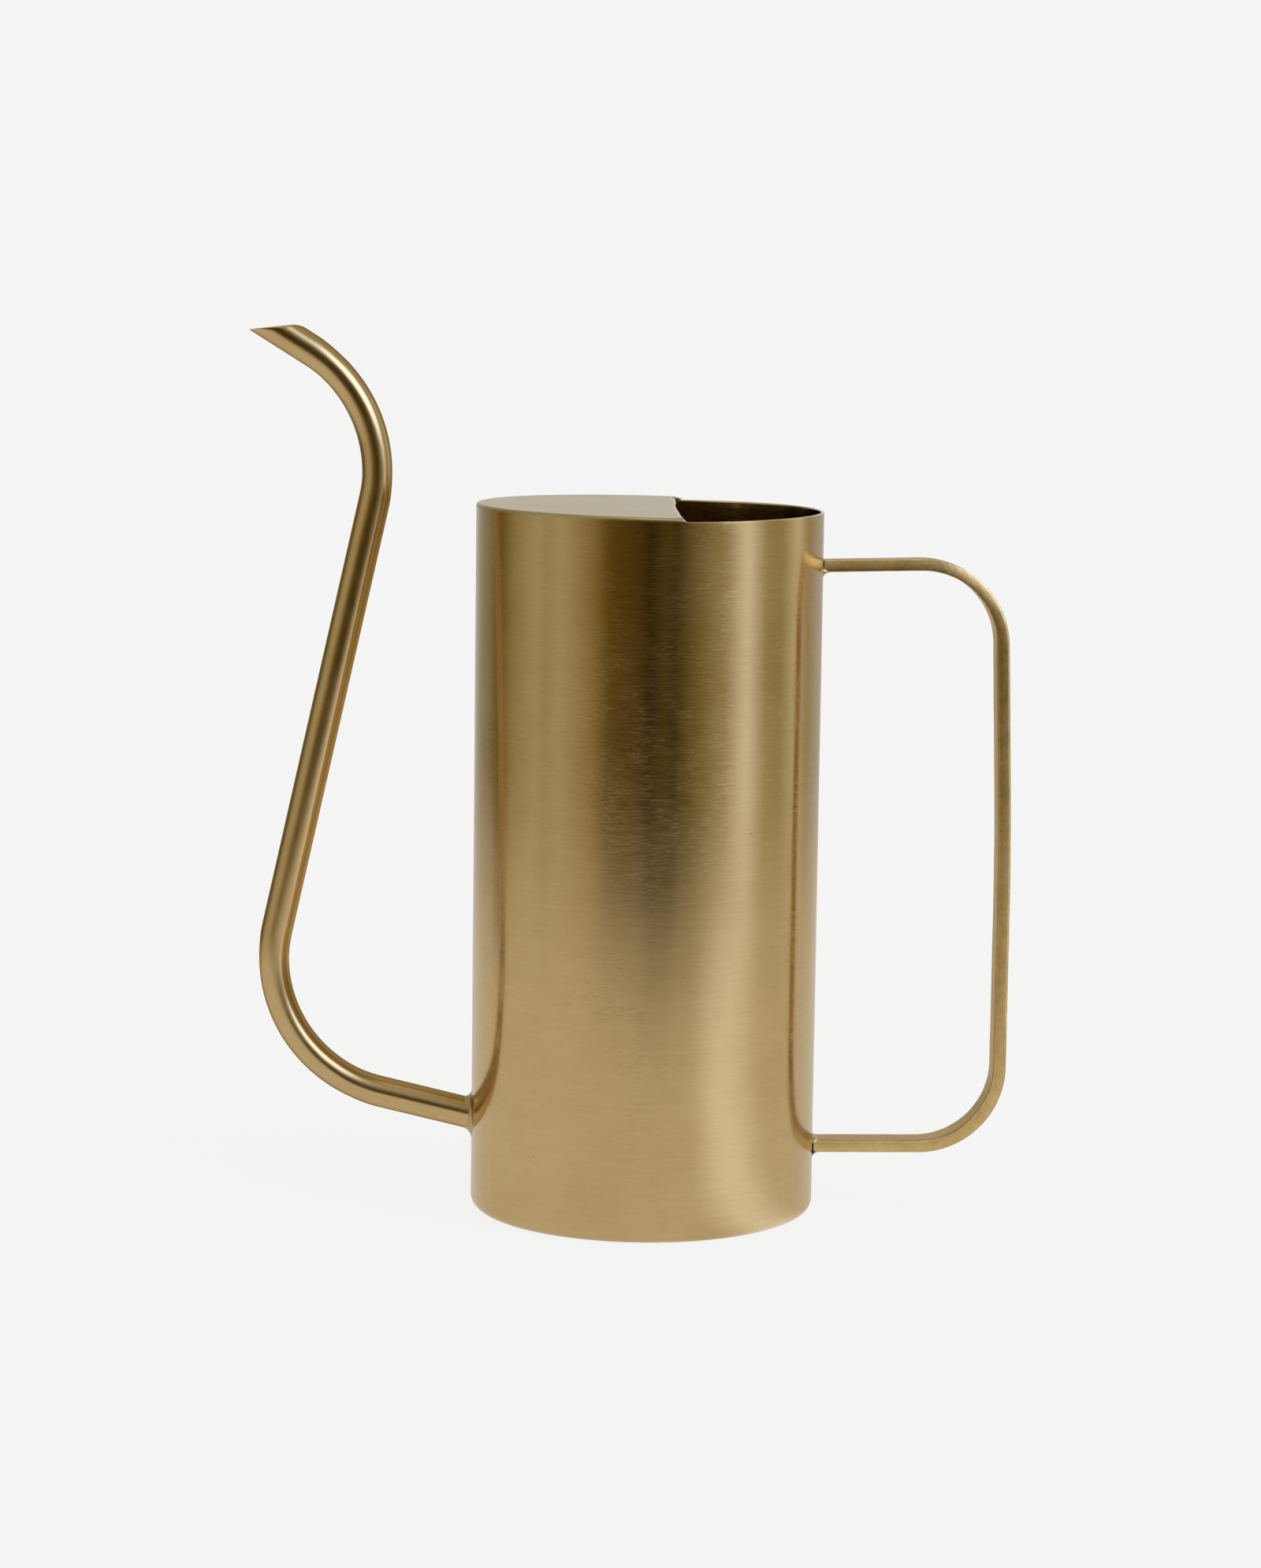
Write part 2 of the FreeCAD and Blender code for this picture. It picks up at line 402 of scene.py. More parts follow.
WALL_FINISH = BrassFinish(
    name="brass_wall_brushed",
    light=(0.71, 0.52, 0.26),
    deep=(0.63, 0.45, 0.21),
    stain=(0.55, 0.37, 0.16),
    brushing=Brushing.AROUND,
    rough=0.15,
    anisotropy=0.35,
    stroke_depth=0.0022 * MM,
    nick_rough=0.10,
    stroke_rough=0.24,
)
COVER_FINISH = BrassFinish(
    name="brass_cover_satin",
    light=(0.63, 0.53, 0.28),
    deep=(0.57, 0.47, 0.24),
    stain=(0.50, 0.40, 0.18),
    brushing=Brushing.ACROSS_PLATE,
    rough=0.30,
)
SPOUT_FINISH = BrassFinish(
    name="brass_spout_polished",
    light=(0.71, 0.52, 0.26),
    deep=(0.63, 0.45, 0.21),
    stain=(0.52, 0.36, 0.15),
    brushing=Brushing.ALONG,
    rough=0.22,
    stroke_depth=0.003 * MM,
    edge_tint=(0.38, 0.29, 0.14),
    nick_rough=0.05,
)
HANDLE_FINISH = BrassFinish(
    name="brass_handle_dressed",
    light=(0.73, 0.51, 0.205),
    deep=(0.55, 0.365, 0.11),
    stain=(0.42, 0.27, 0.075),
    brushing=Brushing.HAND,
    rough=0.34,
    edge_tint=(0.88, 0.84, 0.76),
    stroke_depth=0.006 * MM,
    stroke_tone=0.16,
    cloud_size=9 * MM,
    ripple_depth=0.16 * MM,
    pit_share=0.04,
)
BRAZE_FINISH = BrassFinish(
    name="brass_filler",
    light=(0.68, 0.50, 0.25),
    deep=(0.50, 0.35, 0.15),
    stain=(0.30, 0.20, 0.08),
    brushing=Brushing.ROUGH,
    rough=0.30,
    stroke_depth=0.010 * MM,
    cloud_size=4 * MM,
    pit_share=0.10,
)


# ---------------------------------------------------------------- mesh making


class Sheet:
    """A mesh grown from rings of points, with its stock position and wear, partly painted light, at each
    point.
    """

    def __init__(self) -> None:
        """Start empty."""
        self.points: list[Vector] = []
        self.stock: list[Vector] = []
        self.wear_and_painted_light: list[float] = []
        self.faces: list[tuple[int, ...]] = []

    def ring(
        self, points: Loop, stock: Loop | None = None, wear_and_painted_light: float | Sequence[float] = 0.0
    ) -> list[int]:
        """Add a ring of points.

        Args:
            points: Places in metres.
            stock: Places on the unbent stock; the points themselves if left out.
            wear_and_painted_light: Wear, -1 sooty to 1 rubbed bright, one for all or one each; the
                wall's inner skin gets painted shade this way, and the handle's upper arrises partly a
                painted highlight.

        Returns:
            The points' numbers.
        """
        first = len(self.points)
        self.points += points
        self.stock += stock or points
        self.wear_and_painted_light += [wear_and_painted_light] * len(points) if isinstance(wear_and_painted_light, float) else list(wear_and_painted_light)
        return list(range(first, len(self.points)))

    def bridge(self, first: Sequence[int], second: Sequence[int]) -> None:
        """Join two rings of equal length with quads."""
        count = len(first)
        for i in range(count):
            j = (i + 1) % count
            self.faces.append((first[i], first[j], second[j], second[i]))

    def skin(self, rings: Sequence[Sequence[int]], closed: bool = False) -> None:
        """Bridge rings in turn, and the last to the first if closed."""
        for first, second in zip(rings, rings[1:]):
            self.bridge(first, second)
        if closed:
            self.bridge(rings[-1], rings[0])

    def cap(self, ring: Sequence[int], flip: bool = False) -> None:
        """Close a ring with one flat face."""
        self.faces.append(tuple(reversed(ring)) if flip else tuple(ring))

    def piece(self, name: str, node: str, slot: str, finish: bpy.types.Material) -> None:
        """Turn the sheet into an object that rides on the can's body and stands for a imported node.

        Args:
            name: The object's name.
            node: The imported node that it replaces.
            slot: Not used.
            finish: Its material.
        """
        mesh = bpy.data.meshes.new(name)
        mesh.from_pydata(self.points, [], self.faces)
        stock = mesh.attributes.new(STOCK, "FLOAT_VECTOR", "POINT")
        stock.data.foreach_set("vector", [c for point in self.stock for c in point])
        mesh.attributes.new(WEAR_AND_PAINTED_LIGHT, "FLOAT", "POINT").data.foreach_set("value", self.wear_and_painted_light)
        mesh.materials.append(finish)
        mesh.update()
        item = bpy.data.objects.new(name, mesh)
        bpy.context.collection.objects.link(item)
        self._face_outwards(item)
        mesh.shade_smooth()
        mesh.set_sharp_from_angle(angle=SHARP_TURN)
        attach(item, ROOT_BODY)
        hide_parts(node)
        LOG.info("%s: %d faces, for %s", name, len(mesh.polygons), node)

    @staticmethod
    def _face_outwards(item: bpy.types.Object) -> None:
        """Weld a closed mesh and turn it right side out."""
        work = bmesh.new()
        work.from_mesh(item.data)
        bmesh.ops.remove_doubles(work, verts=work.verts, dist=WELD)
        bmesh.ops.recalc_face_normals(work, faces=work.faces)
        if work.calc_volume(signed=True) < 0:
            bmesh.ops.reverse_faces(work, faces=work.faces)
        work.to_mesh(item.data)
        work.free()


@dataclass
class Bend:
    """A flat path of straight runs and tangent arcs in the can's X-Z plane."""

    corners: list[Vector]
    radii: list[float]
    step: float = 1.5 * MM

    def stations(self) -> list[tuple[Vector, Vector, float, float]]:
        """Walk the path.

        Returns:
            (place, direction, distance gone, bend 0 to 1) at each station.
        """
        marks: list[tuple[Vector, Vector, float]] = []
        start = self.corners[0]
        for corner, after, radius in zip(self.corners[1:-1], self.corners[2:], self.radii):
            back = (start - corner).normalized()
            ahead = (after - corner).normalized()
            half = back.angle(ahead) / 2
            trim = radius / math.tan(half)
            marks += self._line(start, corner + back * trim)
            marks += self._arc(corner, back, ahead, half, radius)
            start = corner + ahead * trim
        marks += self._line(start, self.corners[-1])
        marks.append((self.corners[-1], marks[-1][1], 0.0))
        gone = 0.0
        out = []
        for i, (place, way, bent) in enumerate(marks):
            gone += (place - marks[i - 1][0]).length if i else 0.0
            out.append((place, way, gone, bent))
        return out

    def _line(self, start: Vector, end: Vector) -> list[tuple[Vector, Vector, float]]:
        """Stations along a straight run, without its end."""
        way = end - start
        count = max(1, round(way.length / (2 * self.step)))
        return [(start + way * (i / count), way.normalized(), 0.0) for i in range(count)]

    def _arc(
        self, corner: Vector, back: Vector, ahead: Vector, half: float, radius: float
    ) -> list[tuple[Vector, Vector, float]]:
        """Stations round an arc, without its end."""
        centre = corner + (back + ahead).normalized() * (radius / math.sin(half))
        enter = corner + back * (radius / math.tan(half)) - centre
        turn = math.pi - 2 * half
        axis = enter.cross(-back).normalized()
        count = max(2, round(radius * turn / self.step))
        tight = min(1.0, 45 * MM / radius)
        marks = []
        for i in range(count):
            share = i / count
            spin = Matrix.Rotation(turn * share, 3, axis)
            bent = tight * smooth(0, 0.15, share) * (1 - smooth(0.85, 1, share))
            marks.append((centre + spin @ enter, spin @ -back, bent))
        return marks


def foot_collar(
    section: Callable[[float], tuple[Vector, Vector]],
    way: Vector,
    wall_r: float,
    spread: Callable[[float], float],
    tone: Callable[[float, float], float],
    reach: float = 1.0,
    count: int = 96,
) -> Sheet:
    """Filler metal in the corner between a limb and the round wall.

    Args:
        section: Turn, 0 to 1, to a point on the limb and the limb's outward normal there.
        way: The limb's direction, away from the wall.
        wall_r: The wall's outside radius.
        spread: Turn to the fillet's size there.
        tone: Turn and share of the way to the wall, to wear there.
        reach: How much further the fillet runs along the limb than over the wall.
        count: Points round the limb.

    Returns:
        A closed ring of metal.
    """
    sheet = Sheet()
    rings = []
    shares = [k / 7 for k in range(8)]
    for i in range(count):
        turn = i / count
        point, normal = section(turn)
        size = spread(turn)
        root = point + way * wall_distance(point, way, wall_r)
        up_limb = root + way * (size * reach) - normal * (0.04 * MM)
        outward = Vector((root.x, root.y, 0)).normalized()
        along = (normal - outward * normal.dot(outward)).normalized()
        on_wall = root + along * size
        pull = wall_r / math.hypot(on_wall.x, on_wall.y)
        on_wall = Vector((on_wall.x * pull, on_wall.y * pull, on_wall.z)) - outward * (0.03 * MM)
        bow = root * 0.75 + (up_limb + on_wall) * 0.125
        face = [bowed(up_limb, bow, on_wall, share) for share in shares]
        core = root - outward * (0.3 * MM) - normal * (0.3 * MM)
        wear = [tone(turn, share) for share in shares] + [0.0]
        rings.append(sheet.ring(face + [core], wear_and_painted_light=wear))
    sheet.skin(rings, closed=True)
    return sheet


def wall_distance(point: Vector, way: Vector, wall_r: float) -> float:
    """How far along a direction the line through a point leaves the wall's cylinder."""
    a = way.x**2 + way.y**2
    b = point.x * way.x + point.y * way.y
    c = point.x**2 + point.y**2 - wall_r**2
    return (-b + math.sqrt(max(0.0, b * b - a * c))) / a


# ---------------------------------------------------------------- the tank


@dataclass(frozen=True)
class Gap:
    """A gap in a skin's grid of points, by its first and last columns and rows."""

    left: int
    right: int
    low: int
    high: int

    def holds(self, column: int, row: int) -> bool:
        """Whether the quad that starts at a grid point is in the gap."""
        return self.low <= row < self.high and self.left <= column < self.right

    def border(self, rows: list[list[int]]) -> list[int]:
        """Numbers of the points round the gap, in turn."""
        points = [rows[self.low][i] for i in range(self.left, self.right)]
        points += [rows[j][self.right] for j in range(self.low, self.high)]
        points += [rows[self.high][i] for i in range(self.right, self.left, -1)]
        return points + [rows[j][self.left] for j in range(self.high, self.low, -1)]


@dataclass
class Tank:
    """Rolled wall, pressed base and the beads inside their seams."""

    sheet: float = 1.0 * MM
    rim_round: float = 0.3 * MM
    plate_side_rise: float = 0.0129
    open_side_rise: float = 0.0082
    dent: float = 0.10 * MM
    pan_edge_r: float = 3.5 * MM
    hole_r: float = 5.0 * MM
    cut_x: float = 8.0 * MM
    # Painted shade: this negative value darkens the wall's inner skin, inside the can.
    inner_painted_shade: float = -0.22
    around: int = 288

    def __post_init__(self) -> None:
        """Read the places that the frame fixes."""
        low, high = box_of("body_wall")
        self.outer_r = high.x
        self.foot_z = low.z
        self.top_z = high.z
        collar_low, collar_high = box_of("spout_braze")
        self.hole_z = (collar_low.z + collar_high.z) / 2

    def rim_z(self, x: float) -> float:
        """Height of the wall's edge, which dips where the cover's cut crosses it."""
        plate_side = self.plate_side_rise * max(0.0, self.cut_x - x)
        open_side = self.open_side_rise * max(0.0, x - self.cut_x)
        return self.top_z + plate_side + open_side

    def openness(self, turn: float) -> float:
        """0 where the cover sits on the wall, 1 where the wall's edge is bare."""
        return smooth(self.cut_x - 1 * MM, self.cut_x + 3 * MM, self.outer_r * math.cos(turn))

    def skin_point(self, turn: float, z: float, depth: float) -> Vector:
        """A point of the wall.

        Args:
            turn: Angle from +X in radians.
            z: Height.
            depth: How far in from the outer skin.

        Returns:
            The point, with the slight unevenness of hand-rolled sheet.
        """
        x = math.cos(turn)
        y = math.sin(turn)
        uneven = wobble(1.7 * x, 1.7 * y, z / (55 * MM))
        uneven += 0.5 * wobble(4 * x + 9, 4 * y, z / (23 * MM))
        fade = smooth(0, 10 * MM, z - self.foot_z)
        r = self.outer_r - depth - self.dent * fade * (0.5 + 0.5 * uneven)
        return Vector((r * x, r * y, z))

    def build_wall(self, finish: bpy.types.Material) -> None:
        """Wall sheet with its rounded rim and the spout's hole."""
        sheet = Sheet()
        turns = [2 * math.pi * i / self.around for i in range(self.around)]
        rims = [self.rim_z(self.outer_r * math.cos(turn)) for turn in turns]
        hole_rows = [20.6 * MM, 23 * MM, 26 * MM, 29 * MM, 32 * MM, 35 * MM, 37.6 * MM]
        heights = [self.foot_z, 14 * MM] + hole_rows + [44 * MM + 6 * MM * i for i in range(30)]
        skins = []
        # The inner skin and its row 2.4 mm below the rim carry the painted shade; the row by the edge
        # stays clear.
        for depth, wear_and_painted_light in ((0.0, 0.0), (self.sheet, self.inner_painted_shade)):
            rows = [self._row(sheet, turns, [z] * self.around, depth, wear_and_painted_light) for z in heights]
            for below, wear in ((2.4 * MM, wear_and_painted_light), (0.6 * MM, 0.0)):
                rows.append(self._row(sheet, turns, [rim - below for rim in rims], depth, wear))
            skins.append(rows)
        outer, inner = skins
        edge = [self._rim(sheet, turns, k / 3, False) for k in range(1, 4)]
        edge += [self._rim(sheet, turns, k / 3, True) for k in range(2, -1, -1)]
        middle = self.around // 2
        gap = Gap(middle - 7, middle + 7, 2, 8)
        for rows in skins:
            for j, (first, second) in enumerate(zip(rows, rows[1:])):
                for i in range(self.around):
                    if not gap.holds(i, j):
                        k = (i + 1) % self.around
                        sheet.faces.append((first[i], first[k], second[k], second[i]))
        sheet.skin([outer[-1]] + edge + [inner[-1]])
        sheet.bridge(outer[0], inner[0])
        mouths = [self._pierce(sheet, gap.border(outer), 0.0)]
        mouths.append(self._pierce(sheet, gap.border(inner), self.sheet))
        sheet.bridge(*mouths)
        sheet.piece("rolled_wall", "body_wall", "wall_brass", finish)

    def _rim(self, sheet: Sheet, turns: Sequence[float], share: float, inside: bool) -> list[int]:
        """One ring of the rim's rounding, sharp under the cover.

        Args:
            sheet: The mesh being made.
            turns: Angles round the wall.
            share: 0 at the side of the sheet to 1 on its edge.
            inside: Whether it is the inner corner.

        Returns:
            The ring's numbers.
        """
        angle = math.pi / 2 * share
        points = []
        wear_and_painted_light = []
        for turn in turns:
            bare = self.openness(turn)
            soft = self.rim_round * (0.1 + 0.9 * bare)
            inset = soft * (1 - math.cos(angle))
            high = self.rim_z(self.outer_r * math.cos(turn)) - soft * (1 - math.sin(angle))
            points.append(self.skin_point(turn, high, self.sheet - inset if inside else inset))
            wear_and_painted_light.append(0.9 * bare)
        return sheet.ring(points, wear_and_painted_light=wear_and_painted_light)

    def _row(
        self,
        sheet: Sheet,
        turns: Sequence[float],
        heights: Sequence[float],
        depth: float,
        wear_and_painted_light: float,
    ) -> list[int]:
        """One ring of a skin of the wall, at a height for each turn."""
        points = [self.skin_point(turn, z, depth) for turn, z in zip(turns, heights)]
        return sheet.ring(points, wear_and_painted_light=wear_and_painted_light)

    def _pierce(self, sheet: Sheet, border: list[int], depth: float) -> list[int]:
        """Fill a gap in one skin with rings that close in on the spout's round hole.

        Args:
            sheet: The mesh being made.
            border: Numbers of the points round the gap.
            depth: The skin's depth in the wall.

        Returns:
            The hole's own ring.
        """
        loops = [border]
        for share in (0.35, 0.65, 0.85, 1.0):
            points = []
            for index in border:
                place = sheet.points[index]
                turn = math.atan2(place.y, place.x) % (2 * math.pi) - math.pi
                across = turn * self.outer_r
                rise = place.z - self.hole_z
                shrink = self.hole_r / math.hypot(across, rise)
                at_across = across + (across * shrink - across) * share
                at_rise = rise + (rise * shrink * 1.03 - rise) * share
                hole_turn = math.pi + at_across / self.outer_r
                points.append(self.skin_point(hole_turn, self.hole_z + at_rise, depth))
            loops.append(sheet.ring(points))
        sheet.skin(loops)
        return loops[-1]

    def build_base(self, finish: bpy.types.Material) -> None:
        """Pressed base: flat bottom, rounded edge and short flange."""
        edge = self.pan_edge_r
        r = self.outer_r
        outline = [(0.0, 0.0), (0.35 * r, 0.0), (0.7 * r, 0.0), (r - edge - 2 * MM, 0.0)]
        outline += self._corner(r - edge, edge, edge)
        outline += [(r, 0.5 * (edge + self.foot_z)), (r, self.foot_z)]
        outline += [(r - self.sheet, self.foot_z)]
        outline += list(reversed(self._corner(r - edge, edge, edge - self.sheet)))
        outline += [(0.6 * r, self.sheet), (0.0, self.sheet)]
        self._turned(outline).piece("pressed_base", "base_pan", "wall_brass", finish)

    @staticmethod
    def _corner(centre_r: float, centre_z: float, radius: float) -> list[tuple[float, float]]:
        """Quarter round from the bottom to the side."""
        points = []
        for k in range(9):
            angle = math.pi / 2 * k / 8
            points.append((centre_r + radius * math.sin(angle), centre_z - radius * math.cos(angle)))
        return points

    def _turned(self, outline: Sequence[tuple[float, float]], uneven: float = 0.0) -> Sheet:
        """Mesh turned about the can's axis from (radius, height) points; ends may meet."""
        sheet = Sheet()
        rings = []
        for k, (r, z) in enumerate(outline):
            seed = 3 * (k % (len(outline) - 1))
            points = []
            for i in range(self.around):
                turn = 2 * math.pi * i / self.around
                off = uneven * wobble(7 * math.cos(turn), 7 * math.sin(turn), seed)
                points.append(round_z(r - off, turn, z + off))
            rings.append(sheet.ring(points))
        sheet.skin(rings)
        return sheet

    def build_beads(self, finish: bpy.types.Material) -> None:
        """Beads of filler inside the base joint and up the wall's seam."""
        low, high = box_of("base_braze")
        inside = self.outer_r - self.sheet
        middle = (low.z + high.z) / 2
        half = (high.z - low.z) / 2
        outline = []
        for k in range(9):
            angle = math.pi * k / 8
            outline.append((inside - 0.75 * MM * math.sin(angle), middle + half * math.cos(angle)))
        bead = self._turned(outline + outline[:1], 0.12 * MM)
        bead.piece("base_bead", "base_braze", "filler_brass", finish)
        self._seam_bead(finish)

    def _seam_bead(self, finish: bpy.types.Material) -> None:
        """Rippled bead up the inside of the seam behind the handle."""
        low, high = box_of("body_seam_braze")
        half = high.y
        inside = self.outer_r - self.sheet
        thick = inside - low.x
        sheet = Sheet()
        rings = []
        count = 150
        for i in range(count + 1):
            z = low.z + (high.z - low.z) * i / count
            swell = 0.85 + 0.15 * wobble(0, 0, z / (3 * MM))
            points = []
            for k in range(9):
                angle = math.pi * k / 8
                y = -half * math.cos(angle) * swell
                depth = thick * math.sin(angle) * swell
                points.append(Vector((math.sqrt(inside**2 - y * y) - depth, y, z)))
            points.append(Vector((inside + 0.1 * MM, 0.0, z)))
            rings.append(sheet.ring(points))
        sheet.skin(rings)
        sheet.cap(rings[0])
        sheet.cap(rings[-1], flip=True)
        sheet.piece("seam_bead", "body_seam_braze", "filler_brass", finish)


# ---------------------------------------------------------------- the cover


@dataclass
class Cover:
    """Half cover with a filed rim edge and a hand-cut, wavy edge over the mouth."""

    tank: Tank
    edge_round: float = 1.0 * MM
    cut_round: float = 0.22 * MM
    cut_wave: tuple[float, ...] = (-0.7, -0.75, -0.4, -0.25, 0.2, 1.3, 1.75, 1.8)
    run_outs: tuple[float, float] = (0.9 * MM, 3.2 * MM)
    corner_rs: tuple[float, float] = (0.8 * MM, 2.2 * MM)

    def __post_init__(self) -> None:
        """Read the places that the frame fixes."""
        low, high = box_of("cover_plate")
        self.thick = high.z - low.z
        self.top_z = high.z

    def _cut_x(self, share: float) -> float:
        """Where the cut edge lies, share 0 at the front of the can to 1 at the back."""
        spot = share * (len(self.cut_wave) - 1)
        low = min(int(spot), len(self.cut_wave) - 2)
        part = smooth(0, 1, spot - low)
        wave = self.cut_wave[low] * (1 - part) + self.cut_wave[low + 1] * part
        chatter = 0.22 * wobble(share * 31, 2.0, 0.0) + 0.12 * wobble(share * 77, 5.0, 0.0)
        return self.tank.cut_x + (wave + chatter) * MM

    def _outline(self) -> Outline:
        """Walk round the plate.

        Returns:
            (place in plan, edge rounding, share of full height) at each point.
        """
        r = self.tank.outer_r
        inner = r - self.tank.sheet
        front_x = self._cut_x(0.0)
        back_x = self._cut_x(1.0)
        tip_front = -math.acos((front_x + self.run_outs[0]) / r)
        tip_back = math.acos((back_x + self.run_outs[1]) / r)
        points: Outline = []
        count = 260
        span = 2 * math.pi + tip_front - tip_back
        for i in range(count + 1):
            turn = tip_back + span * i / count
            from_back = smooth(0, self.run_outs[1], i / count * span * r)
            from_front = smooth(0, self.run_outs[0], (1 - i / count) * span * r)
            full = min(0.4 + 0.6 * from_back, from_front)
            rounding = self.edge_round * (0.25 + 0.75 * min(from_back, from_front))
            edge = self.tank.skin_point(turn, self.tank.top_z, 0.0)
            points.append((Vector((edge.x, edge.y, 0)), rounding, full))
        points += self._corner_run(front_x, 0, inner)
        steps = 110
        corner_y = math.sqrt(inner**2 - self.tank.cut_x**2)
        front_y = self.corner_rs[0] * 1.2 - corner_y
        back_y = corner_y - self.corner_rs[1] * 1.2
        for i in range(steps + 1):
            share = i / steps
            y = front_y + (back_y - front_y) * share
            points.append((Vector((self._cut_x(share), y, 0)), self.cut_round, 1.0))
        points += list(reversed(self._corner_run(back_x, 1, inner)))
        return points

    def _corner_run(self, cut_x: float, end: int, inner: float) -> Outline:
        """Hollow corner that runs the cut edge out along the rim.

        Args:
            cut_x: Where the cut edge ends.
            end: 0 at the front, 1 at the back.
            inner: The wall's inside radius.

        Returns:
            Outline points from the rim towards the cut.
        """
        side = 2 * end - 1
        end_x = cut_x + self.run_outs[end] * 0.8
        tip = Vector((end_x, side * math.sqrt(inner**2 - end_x**2), 0))
        corner = Vector((cut_x, side * math.sqrt(inner**2 - cut_x**2), 0))
        corner_y = math.sqrt(inner**2 - self.tank.cut_x**2) - self.corner_rs[end] * 1.2
        start = Vector((cut_x, side * corner_y, 0))
        run = []
        for k in range(10):
            share = k / 10
            full = 0.4 + 0.6 * smooth(0, 0.8, share) if end else smooth(0, 1, share)
            run.append((bowed(tip, corner, start, share), self.cut_round, full))
        return run

    def build(self, finish: bpy.types.Material) -> None:
        """Plate as rings that close in on its middle from both ends of its rounded edge."""
        outline = self._outline()
        count = len(outline)
        normals = []
        for i in range(count):
            way = outline[(i + 1) % count][0] - outline[i - 1][0]
            normals.append(Vector((way.y, -way.x, 0)).normalized())
        sheet = Sheet()
        inner = self._field(outline)
        shares = (0.03, 0.25, 0.5, 0.75, 0.93, 1.0)
        rings = [self._flat(sheet, inner, share, 0.0) for share in shares]
        steps = 5
        for k in range(steps + 1):
            angle = math.pi / 2 * k / steps
            inset = 1 - math.sin(angle)
            rings.append(self._edge(sheet, outline, normals, inset, 1 - math.cos(angle)))
        rings.append(self._foot(sheet, outline))
        rings += [self._flat(sheet, inner, share, 1.0) for share in reversed(shares)]
        sheet.skin(rings)
        sheet.cap(rings[0], flip=True)
        sheet.cap(rings[-1])
        sheet.piece("half_cover", "cover_plate", "cover_brass", finish)

    def _field(self, outline: Outline) -> Loop:
        """Outline of the plate's flat field, which leaves the run-outs along the rim aside."""
        middle = self._middle()
        whole = [full > 0.985 for _place, _rounding, full in outline]
        count = len(outline)
        field = []
        for i, (place, _rounding, _full) in enumerate(outline):
            if whole[i]:
                field.append(middle + (place - middle) * 0.965)
                continue
            back = next(k for k in range(1, count) if whole[(i - k) % count])
            ahead = next(k for k in range(1, count) if whole[(i + k) % count])
            start = outline[(i - back) % count][0]
            end = outline[(i + ahead) % count][0]
            spot = start + (end - start) * (back / (back + ahead))
            field.append(middle + (spot - middle) * 0.965)
        return field

    def _middle(self) -> Vector:
        """Middle of the plate in plan."""
        return Vector((-0.45 * self.tank.outer_r, 0, 0))

    def _flat(self, sheet: Sheet, field: Loop, share: float, drop: float) -> list[int]:
        """Ring on the top (drop 0) or the underside (drop 1), shrunk to a share of the field."""
        middle = self._middle()
        points = []
        for place in field:
            spot = middle + (place - middle) * share
            top, floor = self._heights(spot, 1.0)
            points.append(Vector((spot.x, spot.y, top + (floor - top) * drop)))
        return sheet.ring(points)

    def _foot(self, sheet: Sheet, outline: Outline) -> list[int]:
        """Ring where the plate's edge meets the wall."""
        points = []
        for place, _rounding, full in outline:
            points.append(Vector((place.x, place.y, self._heights(place, full)[1])))
        return sheet.ring(points)

    def _heights(self, place: Vector, full: float) -> tuple[float, float]:
        """Top and underside of the plate at a place in plan."""
        floor = self.tank.rim_z(place.x)
        plane = self.top_z + self.tank.plate_side_rise * (self.tank.cut_x - place.x)
        return floor + (plane - floor) * (0.12 + 0.88 * full), floor

    def _edge(
        self, sheet: Sheet, outline: Outline, normals: Loop, inset: float, drop: float
    ) -> list[int]:
        """Ring on the rounded edge, inset and dropped by shares of the local rounding."""
        points = []
        wear_and_painted_light = []
        for (place, rounding, full), normal in zip(outline, normals):
            top, floor = self._heights(place, full)
            reach = min(rounding, 0.85 * (top - floor))
            spot = place - normal * (reach * inset)
            points.append(Vector((spot.x, spot.y, top - reach * drop)))
            wear_and_painted_light.append(0.85 if rounding < 0.9 * self.edge_round else 0.0)
        return sheet.ring(points, wear_and_painted_light=wear_and_painted_light)

    def build_fillet(self, finish: bpy.types.Material) -> None:
        """Filler metal in the corner under the plate."""
        low, high = box_of("cover_braze")
        inner = self.tank.outer_r - self.tank.sheet
        reach = high.z - low.z
        start = math.acos(high.x / inner)
        sheet = Sheet()
        rings = []
        count = 160
        for i in range(count + 1):
            turn = start + (2 * math.pi - 2 * start) * i / count
            size = reach * (0.85 + 0.25 * wobble(6 * math.cos(turn), 6 * math.sin(turn), 1.0))
            ceiling = self.tank.rim_z(inner * math.cos(turn))
            points = []
            for k in range(6):
                angle = math.pi / 2 * k / 5
                r = inner - size * (1 - math.sin(angle))
                points.append(round_z(r, turn, ceiling - size * (1 - math.cos(angle))))
            points.append(round_z(inner, turn, ceiling))
            rings.append(sheet.ring(points))
        sheet.skin(rings)
        sheet.cap(rings[0])
        sheet.cap(rings[-1], flip=True)
        sheet.piece("cover_fillet", "cover_braze", "filler_brass", finish)


# ---------------------------------------------------------------- the spout


